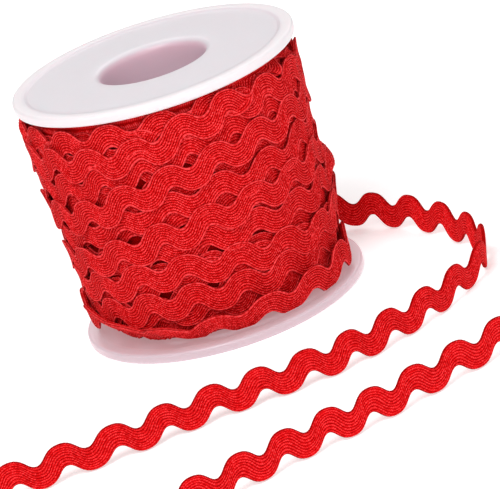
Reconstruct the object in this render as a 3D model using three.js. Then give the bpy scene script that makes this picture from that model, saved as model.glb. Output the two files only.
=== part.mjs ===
// Roll of red ric rac on a white plastic spool, with its loose end standing on its edge on the table.
// Millimetres, +Z up. The origin is on the spool's axis, where the spool rests. -Y is the front.
import * as THREE from 'three';

// Spool: one moulding, the same at both ends.
const SPOOL_HEIGHT = 64;
const FLANGE_RADIUS = 35;
const FLANGE_THICKNESS = 2.4;
const FLANGE_CORNER = 0.7;
const RIM_WIDTH = 2.8;
const RIM_STEP_WIDTH = 1.2;
const OUTER_RECESS = 0.4;
const INNER_RECESS = 0.25;
const BORE_RADIUS = 13;
const BORE_FILLET = 1.8;
const HUB_WALL = 2;
const HUB_FILLET = 0.5;
const SPOOL_SEGMENTS = 64;
const ARC_STEPS = 2;

// Ric rac: a flat braid that waves from side to side.
const TRIM_OVERALL_WIDTH = 9;
const TRIM_BAND_WIDTH = 5.8;
const TRIM_THICKNESS = 1.1;
const WAVE_AMPLITUDE = (TRIM_OVERALL_WIDTH - TRIM_BAND_WIDTH) / 2;
const WAVE_PITCH = 12;
const WAVE_SLOPE = (2 * Math.PI * WAVE_AMPLITUDE) / WAVE_PITCH;
// How far the band's cross direction turns with the wave: 0 is upright, 1 is square to the braid.
const BAND_TURN = 0.3;
// How far the loose end's upper edge runs ahead of its lower edge, as a share of the height between them.
const BAND_SKEW = 0.18;

// Winding: a thick ring between the flanges.
const CLEARANCE = 0.3;
const HUB_RADIUS = BORE_RADIUS + HUB_WALL;
const WINDING_INNER_RADIUS = HUB_RADIUS + CLEARANCE;
const WINDING_BOTTOM = FLANGE_THICKNESS + CLEARANCE;
const WINDING_TOP = SPOOL_HEIGHT - FLANGE_THICKNESS - CLEARANCE;
const WINDING_SEGMENTS = 120;
const WINDING_STEPS = 36;
const GAP_DEPTH = 1.8;
const BAND_EDGE_SOFTNESS = 1.1;
const FULL_TURN = 360;
// The angle that one wave takes round the middle of the winding.
const WINDING_MIDDLE_RADIUS = 33.3;
const WAVE_ANGLE = THREE.MathUtils.radToDeg(WAVE_PITCH / WINDING_MIDDLE_RADIUS);

// The outline of the winding: its outer radius at each height, tucked in over the lower flange.
const OUTLINE = [
  { height: 2.7, radius: 28.9 },
  { height: 4.5, radius: 30.2 },
  { height: 7.5, radius: 31.3 },
  { height: 17, radius: 32.3 },
  { height: 30, radius: 33.3 },
  { height: 44, radius: 34.0 },
  { height: 58, radius: 34.3 },
  { height: 61.3, radius: 33.8 },
];

// The outer turns from the bottom up: the height of the band's mean line at four azimuths on the front, in
// degrees from the front, positive to the right. The turn climbs on round the back into the next one. Wave
// crests lie at first and last, with that many waves between them. Lift is the turn's place in or out.
const OUTER_TURNS = [
  { left60: 8.2, left20: 6.4, right20: 7.0, right60: 7.2, first: -53, last: 62, waves: 5, lift: -0.2 },
  { left60: 11.5, left20: 11.3, right20: 10.9, right60: 10.1, first: -52, last: 62, waves: 5, lift: -0.7 },
  { left60: 11.5, left20: 13.7, right20: 13.3, right60: 13.3, first: -55, last: 53, waves: 5, lift: 0 },
  { left60: 18.8, left20: 21.5, right20: 19.6, right60: 17.2, first: -56, last: 56, waves: 5, lift: -0.2 },
  { left60: 25.5, left20: 30.1, right20: 32.9, right60: 33.0, first: -60, last: 67, waves: 6, lift: 0 },
  { left60: 37.4, left20: 42.4, right20: 46.3, right60: 47.4, first: -68, last: 54, waves: 6, lift: 0 },
  { left60: 51.3, left20: 52.3, right20: 56.3, right60: 55.0, first: -57, last: 64, waves: 6, lift: 0 },
  { left60: 55.9, left20: 56.7, right20: 56.8, right60: 56.8, first: -70, last: 62, waves: 6, lift: -0.8 },
];

const STATIONS = [
  { azimuth: -60, column: 'left60' },
  { azimuth: -20, column: 'left20' },
  { azimuth: 20, column: 'right20' },
  { azimuth: 60, column: 'right60' },
];

// Places where the trim stands out of the winding's outline, or in where the lift is below nothing.
const PROUD_WAVES = [
  { azimuth: -90, height: 9, lift: 1.6, reach: 4 },
  { azimuth: -90, height: 46, lift: 0.8, reach: 14 },
  { azimuth: 45, height: 5, lift: 1.8, reach: 9 },
  { azimuth: 91, height: 26.5, lift: 2.6, reach: 4.5 },
  { azimuth: 90, height: 45, lift: -0.5, reach: 13 },
];

// The loose end: the mean line of the band, one full wave between neighbouring points, each where the wave
// rises through it. It leaves the roll at the back right, drops over the lower flange, runs round to the
// front and to the left, turns back and ends at the right.
const TAIL_ROUTE = [
  [4.5, 32.5, 8.1], [16.5, 30.6, 7.9], [28.2, 26.0, 6.4], [39.1, 19.6, 4.9], [47.5, 11.0, 4.6],
  [54.3, -0.2, 4.6], [59.4, -12.8, 4.6], [62.1, -23.9, 4.6], [61.1, -34.6, 4.6], [54.2, -44.8, 4.6],
  [46.1, -53.3, 4.6], [36.9, -60.1, 4.6], [26.9, -65.9, 4.6], [16.7, -69.8, 4.6], [5.3, -72.0, 4.6],
  [-5.9, -73.5, 4.6], [-17.5, -76.0, 4.6], [-29.0, -78.9, 4.6], [-41.3, -80.9, 4.6], [-53.1, -82.9, 4.6],
  [-64.8, -84.7, 4.6], [-75.3, -89.9, 4.6], [-81.5, -99.9, 4.6], [-81.3, -111.7, 4.6], [-75.0, -121.6, 4.6],
  [-65.2, -127.9, 4.6], [-53.8, -130.5, 4.6], [-42.2, -129.9, 4.6], [-31.0, -126.9, 4.6],
  [-20.2, -122.9, 4.6], [-9.6, -118.2, 4.6], [0.9, -113.1, 4.6], [11.3, -108.5, 4.6], [21.6, -104.8, 4.6],
  [31.8, -100.2, 4.6], [42.4, -94.3, 4.6], [53.1, -88.2, 4.6], [63.4, -81.9, 4.6],
].map(([x, y, z]) => new THREE.Vector3(x, y, z));
const TAIL_STEPS_PER_WAVE = 8;
// How far the loose end leans outwards round its first bend, in degrees, by the place of its point.
const TAIL_LEANS = [
  { point: 1, lean: 0 },
  { point: 4, lean: 11 },
  { point: 8, lean: 11 },
  { point: 11, lean: 0 },
];

const plastic = new THREE.MeshStandardMaterial({ color: 0xebe7ec, roughness: 0.35, metalness: 0 });
const cloth = new THREE.MeshStandardMaterial({ color: 0xd81c24, roughness: 0.85, metalness: 0 });

// Points on a quarter circle about (r, z), between two angles in degrees, in the plane of radius and height.
function arc(r, z, radius, from, to) {
  const points = [];
  for (let i = 0; i <= ARC_STEPS; i += 1) {
    const angle = THREE.MathUtils.degToRad(from + ((to - from) * i) / ARC_STEPS);
    points.push(new THREE.Vector2(r + radius * Math.cos(angle), z + radius * Math.sin(angle)));
  }
  return points;
}

// The lower half of the spool's section, from the bore outwards and back in to the hub.
function lowerHalfSection() {
  const face = OUTER_RECESS;
  const rimInside = FLANGE_RADIUS - RIM_WIDTH;
  const corner = FLANGE_CORNER;
  const innerFace = FLANGE_THICKNESS - INNER_RECESS;
  return [
    ...arc(BORE_RADIUS + BORE_FILLET, face + BORE_FILLET, BORE_FILLET, 180, 270),
    new THREE.Vector2(rimInside - RIM_STEP_WIDTH, face),
    new THREE.Vector2(rimInside, 0),
    ...arc(FLANGE_RADIUS - corner, corner, corner, -90, 0),
    ...arc(FLANGE_RADIUS - corner, FLANGE_THICKNESS - corner, corner, 0, 90),
    new THREE.Vector2(rimInside, FLANGE_THICKNESS),
    new THREE.Vector2(rimInside - RIM_STEP_WIDTH, innerFace),
    ...arc(HUB_RADIUS + HUB_FILLET, innerFace + HUB_FILLET, HUB_FILLET, 270, 180),
  ];
}

function makeSpool() {
  const lower = lowerHalfSection();
  const upper = lower.map((p) => new THREE.Vector2(p.x, SPOOL_HEIGHT - p.y)).reverse();
  const section = [...lower, ...upper, lower[0].clone()];
  const geometry = new THREE.LatheGeometry(section, SPOOL_SEGMENTS);
  // A lathe turns about Y: stand it up on Z.
  geometry.rotateX(Math.PI / 2);
  return geometry;
}

// A smooth curve through the points (xs, ys), read at x.
function smoothThrough(xs, ys, x) {
  const last = xs.length - 1;
  if (x <= xs[0]) return ys[0];
  if (x >= xs[last]) return ys[last];
  let i = 0;
  while (x > xs[i + 1]) i += 1;
  const slope = (k) => {
    const a = Math.max(k - 1, 0);
    const b = Math.min(k + 1, last);
    return (ys[b] - ys[a]) / (xs[b] - xs[a]);
  };
  const span = xs[i + 1] - xs[i];
  const t = (x - xs[i]) / span;
  const t2 = t * t;
  const t3 = t2 * t;
  return ys[i] * (2 * t3 - 3 * t2 + 1) + span * slope(i) * (t3 - 2 * t2 + t)
    + ys[i + 1] * (3 * t2 - 2 * t3) + span * slope(i + 1) * (t3 - t2);
}

// The value of a table of knots at x, straight between knots.
function straightThrough(xs, ys, x) {
  const last = xs.length - 1;
  let i = 0;
  while (i < last - 1 && x > xs[i + 1]) i += 1;
  return ys[i] + ((ys[i + 1] - ys[i]) * (x - xs[i])) / (xs[i + 1] - xs[i]);
}

// The outer turns as knots along their whole azimuth: mean height, wave count and lift.
function turnKnots(turns) {
  const knots = { azimuth: [], height: [], lift: [], crestAzimuth: [], crest: [] };
  turns.forEach((turn, k) => {
    const start = k * FULL_TURN;
    for (const { azimuth, column } of STATIONS) {
      knots.azimuth.push(start + azimuth);
      knots.height.push(turn[column]);
      knots.lift.push(turn.lift);
    }
    const first = start + turn.first;
    const before = knots.crest.length - 1;
    const backWaves = before < 0 ? 0 : Math.round((first - knots.crestAzimuth[before]) / WAVE_ANGLE);
    const count = before < 0 ? 0 : knots.crest[before] + backWaves;
    knots.crestAzimuth.push(first, start + turn.last);
    knots.crest.push(count, count + turn.waves);
  });
  return knots;
}

// How proud the turns stand at an azimuth and height: their lift on the band, the gap's depth beside it.
function turnsRelief(knots, azimuth, height) {
  let relief = -GAP_DEPTH;
  for (let k = -1; k <= OUTER_TURNS.length; k += 1) {
    const along = azimuth + k * FULL_TURN;
    if (along < knots.azimuth[0] - FULL_TURN / 2) continue;
    if (along > knots.azimuth[knots.azimuth.length - 1] + FULL_TURN / 2) continue;
    const mean = smoothThrough(knots.azimuth, knots.height, along);
    const wave = 2 * Math.PI * straightThrough(knots.crestAzimuth, knots.crest, along);
    const centre = mean + WAVE_AMPLITUDE * Math.cos(wave);
    const steepness = WAVE_SLOPE * Math.sin(wave);
    const away = Math.abs(height - centre) / Math.hypot(1, steepness);
    const edge = TRIM_BAND_WIDTH / 2;
    const soft = THREE.MathUtils.smoothstep(away, edge - BAND_EDGE_SOFTNESS / 2, edge + BAND_EDGE_SOFTNESS);
    const onBand = 1 - soft;
    const lift = straightThrough(knots.azimuth, knots.lift, along);
    relief = Math.max(relief, lift * onBand - GAP_DEPTH * (1 - onBand));
  }
  return relief;
}

// How much the proud waves add at an azimuth and height.
function proudLift(azimuth, height, radius) {
  let lift = 0;
  for (const wave of PROUD_WAVES) {
    const half = FULL_TURN / 2;
    const turn = THREE.MathUtils.euclideanModulo(azimuth - wave.azimuth + half, FULL_TURN) - half;
    const across = THREE.MathUtils.degToRad(turn) * radius;
    const distance = Math.hypot(across, height - wave.height) / wave.reach;
    lift += wave.lift * Math.exp(-distance * distance);
  }
  return lift;
}

// A closed grid: `around` sections, each a closed loop of `points` positions from place(i, j).
function closedGrid(around, points, place) {
  const positions = [];
  const index = [];
  for (let i = 0; i < around; i += 1) {
    for (let j = 0; j < points; j += 1) positions.push(...place(i, j));
  }
  for (let i = 0; i < around; i += 1) {
    const next = (i + 1) % around;
    for (let j = 0; j < points; j += 1) {
      const up = (j + 1) % points;
      const a = i * points + j;
      const b = next * points + j;
      const c = next * points + up;
      const d = i * points + up;
      index.push(a, b, c, a, c, d);
    }
  }
  const geometry = new THREE.BufferGeometry();
  geometry.setAttribute('position', new THREE.Float32BufferAttribute(positions, 3));
  geometry.setIndex(index);
  geometry.computeVertexNormals();
  return geometry;
}

function makeWinding() {
  const knots = turnKnots(OUTER_TURNS);
  const outlineHeights = OUTLINE.map((p) => p.height);
  const outlineRadii = OUTLINE.map((p) => p.radius);
  const innerHeights = [WINDING_TOP, WINDING_BOTTOM];
  const outerPoints = WINDING_STEPS + 1;
  return closedGrid(WINDING_SEGMENTS, outerPoints + innerHeights.length, (i, j) => {
    const azimuth = (FULL_TURN * i) / WINDING_SEGMENTS;
    const angle = THREE.MathUtils.degToRad(azimuth);
    let height;
    let radius;
    if (j < outerPoints) {
      height = WINDING_BOTTOM + ((WINDING_TOP - WINDING_BOTTOM) * j) / WINDING_STEPS;
      const outline = smoothThrough(outlineHeights, outlineRadii, height);
      const relief = turnsRelief(knots, azimuth, height);
      radius = outline + relief + proudLift(azimuth, height, outline);
    } else {
      height = innerHeights[j - outerPoints];
      radius = WINDING_INNER_RADIUS;
    }
    return [radius * Math.sin(angle), -radius * Math.cos(angle), height];
  });
}

// The loose end: a flat band that stands on its edge along the route and waves up and down.
function makeTail() {
  const waves = TAIL_ROUTE.length - 1;
  const steps = waves * TAIL_STEPS_PER_WAVE;
  const route = new THREE.CatmullRomCurve3(TAIL_ROUTE, false, 'centripetal');
  const up = new THREE.Vector3(0, 0, 1);
  const leanPoints = TAIL_LEANS.map((row) => row.point);
  const leans = TAIL_LEANS.map((row) => row.lean);
  const positions = [];
  for (let i = 0; i <= steps; i += 1) {
    const t = i / steps;
    const centre = route.getPoint(t);
    const along = route.getTangent(t).setZ(0).normalize();
    const lean = THREE.MathUtils.degToRad(smoothThrough(leanPoints, leans, waves * t));
    const upright = up.clone().applyAxisAngle(along, -lean);
    const aside = new THREE.Vector3().crossVectors(upright, along);
    const wave = 2 * Math.PI * waves * t;
    const steepness = WAVE_SLOPE * Math.cos(wave) * BAND_TURN - BAND_SKEW;
    const across = upright.clone().addScaledVector(along, -steepness).normalize();
    centre.addScaledVector(upright, WAVE_AMPLITUDE * Math.sin(wave));
    for (const [u, v] of [[-1, -1], [1, -1], [1, 1], [-1, 1]]) {
      const corner = centre.clone();
      corner.addScaledVector(aside, (u * TRIM_THICKNESS) / 2);
      corner.addScaledVector(across, (v * TRIM_BAND_WIDTH) / 2);
      positions.push(corner.x, corner.y, corner.z);
    }
  }
  const sides = 4;
  const index = [];
  for (let i = 0; i < steps; i += 1) {
    for (let j = 0; j < sides; j += 1) {
      const a = i * sides + j;
      const b = i * sides + ((j + 1) % sides);
      const c = b + sides;
      const d = a + sides;
      index.push(a, b, c, a, c, d);
    }
  }
  const end = steps * sides;
  index.push(0, 2, 1, 0, 3, 2);
  index.push(end, end + 1, end + 2, end, end + 2, end + 3);
  const geometry = new THREE.BufferGeometry();
  geometry.setAttribute('position', new THREE.Float32BufferAttribute(positions, 3));
  geometry.setIndex(index);
  geometry.computeVertexNormals();
  return geometry;
}

function addPiece(group, name, geometry, material) {
  const mesh = new THREE.Mesh(geometry, material);
  mesh.name = name;
  group.add(mesh);
}

const roll = new THREE.Group();
addPiece(roll, 'spool', makeSpool(), plastic);
addPiece(roll, 'winding', makeWinding(), cloth);
addPiece(roll, 'tail', makeTail(), cloth);

export default roll;
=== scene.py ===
"""Roll of red ric rac on a white plastic spool, with its loose end standing on its edge on the floor.

Lengths are in millimetres while a shape is worked out and in metres once it is a mesh. +Z is up along the
spool's axis and -Y is the front. An azimuth is an angle round the axis from the front, in degrees, positive
to the right.
"""

from __future__ import annotations

import logging
import math
from dataclasses import dataclass, field
from enum import Enum

import bpy
import numpy as np
from mathutils import Matrix, Vector


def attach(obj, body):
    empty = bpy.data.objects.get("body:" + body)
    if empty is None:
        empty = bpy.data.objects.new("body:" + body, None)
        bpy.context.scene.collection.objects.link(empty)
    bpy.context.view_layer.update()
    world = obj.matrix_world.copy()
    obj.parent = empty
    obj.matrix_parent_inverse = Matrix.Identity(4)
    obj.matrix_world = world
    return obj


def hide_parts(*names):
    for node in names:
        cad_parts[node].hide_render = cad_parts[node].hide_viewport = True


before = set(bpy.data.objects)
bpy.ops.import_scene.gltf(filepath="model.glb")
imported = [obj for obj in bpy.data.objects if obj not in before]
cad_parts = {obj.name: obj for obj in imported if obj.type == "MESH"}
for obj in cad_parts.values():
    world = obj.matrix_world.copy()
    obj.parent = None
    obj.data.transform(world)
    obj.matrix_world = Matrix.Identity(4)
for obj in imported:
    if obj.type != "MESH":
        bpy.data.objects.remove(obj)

LOG = logging.getLogger("ric_rac")
METRES = 0.001
FULL_TURN = 360.0
BODY = "root"
Colour = tuple[float, float, float]
Socket = bpy.types.NodeSocket


class Slot(Enum):
    """The record's material slots."""

    PLASTIC = "spool_plastic"
    CLOTH = "trim_cloth"


# Shape helpers


def smooth_through(xs: np.ndarray, ys: np.ndarray, x: np.ndarray) -> np.ndarray:
    """Reads a smooth curve through knots.

    Each span is a cubic that meets both its knots, with the slope of the chord between a knot's neighbours.

    Args:
        xs: The knots' places, rising.
        ys: The knots' values.
        x: Where to read the curve.

    Returns:
        The values at x, held level beyond both ends.
    """
    xs = np.asarray(xs, dtype=float)
    ys = np.asarray(ys, dtype=float)
    last = len(xs) - 1
    order = np.arange(last + 1)
    before = np.maximum(order - 1, 0)
    after = np.minimum(order + 1, last)
    slope = (ys[after] - ys[before]) / (xs[after] - xs[before])
    i = np.clip(np.searchsorted(xs, x, side="right") - 1, 0, last - 1)
    span = xs[i + 1] - xs[i]
    t = np.clip((x - xs[i]) / span, 0.0, 1.0)
    square = t * t
    cube = square * t
    start = ys[i] * (2 * cube - 3 * square + 1) + span * slope[i] * (cube - 2 * square + t)
    end = ys[i + 1] * (3 * square - 2 * cube) + span * slope[i + 1] * (cube - square)
    return start + end


def grid_faces(rows: int, columns: int, ring_rows: bool, ring_columns: bool) -> np.ndarray:
    """Lists the quads between neighbouring points of a grid.

    Args:
        rows: Number of rows of points.
        columns: Number of points in a row.
        ring_rows: Whether the last row joins the first.
        ring_columns: Whether the last point of a row joins its first.

    Returns:
        An array of four point numbers a face.
    """
    i = np.arange(rows if ring_rows else rows - 1)
    j = np.arange(columns if ring_columns else columns - 1)
    i, j = np.meshgrid(i, j, indexing="ij")
    below = i * columns
    above = ((i + 1) % rows) * columns
    right = (j + 1) % columns
    quads = np.stack([below + j, above + j, above + right, below + right], axis=-1)
    return quads.reshape(-1, 4)


def turned(section: np.ndarray, steps: int) -> tuple[np.ndarray, np.ndarray]:
    """Turns a closed section about the axis: at azimuth a, its point (r, z) goes to (r sin a, -r cos a, z).

    Args:
        section: Radii and heights, one row a point.
        steps: How many places there are round the axis.

    Returns:
        The points, and the quads between them.
    """
    angle = np.linspace(0.0, 2.0 * math.pi, steps, endpoint=False)[:, None]
    radius, height = section.T
    x = np.sin(angle) * radius
    y = -np.cos(angle) * radius
    z = np.broadcast_to(height, x.shape)
    points = np.stack([x, y, z], axis=-1).reshape(-1, 3)
    return points, grid_faces(steps, len(section), True, True)


def signed_volume(points: np.ndarray, quads: np.ndarray) -> float:
    """Sums a . (b x c) / 6 over the triangles of the quads.

    Args:
        points: The points, one row each.
        quads: Four point numbers a face.

    Returns:
        The volume, above nothing where the faces point outwards.
    """
    a, b, c, d = (points[quads[:, k]] for k in range(4))
    first = np.einsum("ij,ij->", a, np.cross(b, c))
    second = np.einsum("ij,ij->", a, np.cross(c, d))
    return float(first + second) / 6.0


@dataclass
class Surface:
    """A closed surface before it is a mesh: points in millimetres, quads, end faces and a pattern place."""

    points: np.ndarray
    quads: np.ndarray
    caps: list[list[int]] = field(default_factory=list)
    pattern: np.ndarray | None = None

    def outward(self) -> "Surface":
        """Turns every face round if the surface is inside out.

        Returns:
            The surface itself.
        """
        if signed_volume(self.points, self.quads) < 0:
            self.quads = self.quads[:, ::-1]
            self.caps = [cap[::-1] for cap in self.caps]
        return self

    def triangles(self) -> int:
        """Counts the triangles that the surface comes to."""
        return 2 * len(self.quads) + sum(len(cap) - 2 for cap in self.caps)

    def piece(self, name: str, material: bpy.types.Material) -> bpy.types.Object:
        """Makes the mesh object.

        Args:
            name: The piece's name.
            material: Its finish.

        Returns:
            The object, at the origin, in the scene's collection.
        """
        mesh = bpy.data.meshes.new(name)
        faces = self.quads.tolist() + self.caps
        mesh.from_pydata((self.points * METRES).tolist(), [], faces)
        mesh.polygons.foreach_set("use_smooth", np.ones(len(faces), dtype=bool))
        if self.pattern is not None:
            layer = mesh.uv_layers.new(name="braid")
            corners = np.empty(len(mesh.loops), dtype=np.int32)
            mesh.loops.foreach_get("vertex_index", corners)
            layer.data.foreach_set("uv", self.pattern[corners].astype(np.float32).ravel())
        mesh.materials.append(material)
        mesh.update()
        made = bpy.data.objects.new(name, mesh)
        bpy.context.scene.collection.objects.link(made)
        LOG.info("%s: %d triangles", name, self.triangles())
        return made


# Camera, lights and floor


@dataclass(frozen=True)
class StudioCamera:
    """The camera, from the fit of the spool's two flanges, its bore and its height to the photograph."""

    elevation: float = 19.466
    roll: float = -17.211
    distance: float = 850.0
    aim_height: float = 31.5
    slide_right: float = 14.483
    slide_up: float = -14.968
    focal_pixels: float = 3513.8
    picture_width: float = 500.0
    sensor_width: float = 36.0
    clip_end: float = 20.0

    def build(self) -> bpy.types.Object:
        """Makes the camera and hands it to the scene.

        It looks along the elevation from the front, is rolled about its line of sight, and slides across it.

        Returns:
            The camera's object.
        """
        dip = math.radians(self.elevation)
        turn = math.radians(self.roll)
        ahead = Vector((0.0, math.cos(dip), -math.sin(dip)))
        level = Vector((1.0, 0.0, 0.0))
        upright = level.cross(ahead)
        right = math.cos(turn) * level + math.sin(turn) * upright
        up = math.cos(turn) * upright - math.sin(turn) * level
        place = Vector((0.0, 0.0, self.aim_height)) - ahead * self.distance
        place += right * self.slide_right + up * self.slide_up
        data = bpy.data.cameras.new("studio_camera")
        data.sensor_fit = "HORIZONTAL"
        data.sensor_width = self.sensor_width
        data.lens = self.focal_pixels * self.sensor_width / self.picture_width
        data.clip_end = self.clip_end
        camera = bpy.data.objects.new("studio_camera", data)
        pose = Matrix((right, up, -ahead)).transposed().to_4x4()
        pose.translation = place * METRES
        camera.matrix_world = pose
        bpy.context.scene.collection.objects.link(camera)
        bpy.context.scene.camera = camera
        return camera


@dataclass(frozen=True)
class SoftBox:
    """A square studio light: its place, size and aim in metres, and its power in watts."""

    name: str
    place: tuple[float, float, float]
    size: float
    power: float
    aim_height: float = 0.03

    def build(self) -> bpy.types.Object:
        """Makes the light, turned towards the middle of the roll.

        Returns:
            The light's object.
        """
        data = bpy.data.lights.new(self.name, "AREA")
        data.shape = "SQUARE"
        data.size = self.size
        data.energy = self.power
        light = bpy.data.objects.new(self.name, data)
        aim = Vector((0.0, 0.0, self.aim_height)) - Vector(self.place)
        light.location = self.place
        light.rotation_euler = aim.to_track_quat("-Z", "Y").to_euler()
        bpy.context.scene.collection.objects.link(light)
        return light


@dataclass(frozen=True)
class Studio:
    """The pale floor, the soft boxes and the pale surroundings."""

    floor_reach: float = 4000.0
    floor_depth: float = 20.0
    surroundings: float = 0.42
    lights: tuple[SoftBox, ...] = (
        SoftBox("key_light", (-0.30, -0.70, 1.1), 0.5, 9.5),
        SoftBox("front_light", (0.15, -1.2, 0.32), 0.7, 3.6),
        SoftBox("fill_light", (1.0, -0.6, 0.5), 0.7, 1.6),
        SoftBox("back_light", (0.1, 0.9, 0.8), 0.8, 3.5),
    )

    def build(self, floor_material: bpy.types.Material) -> None:
        """Makes the floor, the lights and the world.

        Args:
            floor_material: The floor's finish.
        """
        reach = self.floor_reach
        corners = np.array([[-1, -1], [1, -1], [1, 1], [-1, 1]], dtype=float) * reach
        top = np.column_stack([corners, np.zeros(len(corners))])
        under = top - [0.0, 0.0, self.floor_depth]
        sides = grid_faces(2, len(corners), False, True)
        caps = [[7, 6, 5, 4], [0, 1, 2, 3]]
        slab = Surface(np.vstack([top, under]), sides, caps).outward()
        floor = slab.piece("floor", floor_material)
        for light in self.lights:
            light.build()
        world = bpy.data.worlds.new("pale_surroundings")
        world.use_nodes = True
        backdrop = world.node_tree.nodes["Background"]
        backdrop.inputs["Color"].default_value = (1.0, 1.0, 1.0, 1.0)
        backdrop.inputs["Strength"].default_value = self.surroundings
        bpy.context.scene.world = world
        bpy.context.scene.view_settings.view_transform = "Standard"


# The trim


@dataclass(frozen=True)
class Braid:
    """The flat braid itself: its band, its wave, and how it is drawn.

    The band's half thickness at v, from -1 to 1 across, is that of a rounded slab, (1 - |v|^10)^(1/2), less
    the depth of the grooves between the ribs, which follow |sin|^0.8. The ribs wave a little more than the
    edges do: half way across they lie rib_sway further towards a crest or trough. They wander a little too.
    """

    width: float = 5.8
    thickness: float = 1.1
    amplitude: float = 1.68
    flatness: float = 0.06
    pitch: float = 12.0
    band_turn: float = 0.3
    skew: float = 0.18
    edge_power: float = 10.0
    ribs: int = 9
    rib_sway: float = 0.35
    rib_wander: float = 0.09
    wander_sines: int = 8
    wander_rates: tuple[float, float] = (1.0, 24.0)
    wander_slants: tuple[float, float] = (-5.0, 5.0)
    groove_depth: float = 0.24
    crown_power: float = 0.8
    points_per_rib: int = 5
    plain_points: int = 6

    @property
    def slope(self) -> float:
        """The wave's steepest slope."""
        return 2.0 * math.pi * self.amplitude / self.pitch

    def swing(self, waves: np.ndarray) -> np.ndarray:
        """Gives the wave's share of its amplitude, some waves after a crest: cos a - flatness cos 3a."""
        angle = 2.0 * math.pi * waves
        return np.cos(angle) - self.flatness * np.cos(3.0 * angle)

    def wander(self, waves: np.ndarray, v: np.ndarray) -> np.ndarray:
        """Sums seeded sines of the place along and across, about as big as 1 and nothing at the edges.

        Args:
            waves: Places along, in waves after a crest.
            v: Places across, from -1 to 1.

        Returns:
            The sums, one row a step along.
        """
        random = np.random.default_rng(self.ribs)
        rates = random.uniform(*self.wander_rates, self.wander_sines)
        slants = random.uniform(*self.wander_slants, self.wander_sines)
        shifts = random.uniform(0.0, 2.0 * math.pi, self.wander_sines)
        total = np.zeros((len(waves), len(v)))
        for rate, slant, shift in zip(rates, slants, shifts):
            total += np.sin(rate * waves[:, None] + slant * v[None, :] + shift)
        return total * (1.0 - v[None, :] ** 2) / math.sqrt(self.wander_sines)

    def face(self, ribbed: bool) -> tuple[np.ndarray, np.ndarray]:
        """Works out one face of the band's section.

        Args:
            ribbed: Whether the face has its ribs, or is left plain because it never shows.

        Returns:
            Places across, from -1 to 1, and the height of the face over the band's middle in millimetres.
        """
        count = self.ribs * self.points_per_rib if ribbed else self.plain_points
        v = np.linspace(-1.0, 1.0, count + 1)
        rounding = 1.0 - np.abs(v) ** self.edge_power
        height = 0.5 * self.thickness * np.sqrt(rounding)
        if ribbed:
            crown = np.abs(np.sin(0.5 * math.pi * self.ribs * (v + 1.0))) ** self.crown_power
            height = height - self.groove_depth * (1.0 - crown) * rounding
        return v, height

    def section(self, ribbed_back: bool) -> tuple[np.ndarray, np.ndarray]:
        """Works out the whole section as one loop, out along the front face and home along the back.

        Args:
            ribbed_back: Whether the back face has ribs too.

        Returns:
            Places across and heights over the band's middle, one pair for each point of the loop.
        """
        front_v, front_height = self.face(True)
        back_v, back_height = self.face(ribbed_back)
        across = np.concatenate([front_v, back_v[-2:0:-1]])
        height = np.concatenate([front_height, -back_height[-2:0:-1]])
        return across, height

    def places(self, v: np.ndarray, waves: np.ndarray) -> np.ndarray:
        """Places the section across the band: v half widths, plus rib_sway (1 - v^2) cos a and the wander.

        Args:
            v: Places across, from -1 to 1.
            waves: Places along, in waves after a crest.

        Returns:
            Millimetres from the band's middle, one row a step.
        """
        sway = self.rib_sway * (1.0 - v[None, :] ** 2) * np.cos(2.0 * math.pi * waves)[:, None]
        return v[None, :] * self.width / 2.0 + sway + self.rib_wander * self.wander(waves, v)

    def pattern(self, along: np.ndarray, across: np.ndarray) -> np.ndarray:
        """Pairs each point's length along the trim, in millimetres, with its share across, from 0 to 1."""
        u, v = np.meshgrid(along, 0.5 * (across + 1.0), indexing="ij")
        return np.stack([u, v], axis=-1).reshape(-1, 2)

    def ribbon(self, points: np.ndarray, along: np.ndarray, across: np.ndarray) -> Surface:
        """Closes a grid of sections into a surface with both ends shut.

        Args:
            points: The grid, one row a step along the trim.
            along: The length along the trim at each step.
            across: The place across of each point of the section, from -1 to 1.

        Returns:
            The closed surface, facing outwards.
        """
        rows, columns = points.shape[:2]
        quads = grid_faces(rows, columns, False, True)
        first = list(range(columns))[::-1]
        last = list(range((rows - 1) * columns, rows * columns))
        surface = Surface(points.reshape(-1, 3), quads, [first, last], self.pattern(along, across))
        return surface.outward()


# Finishes


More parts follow.
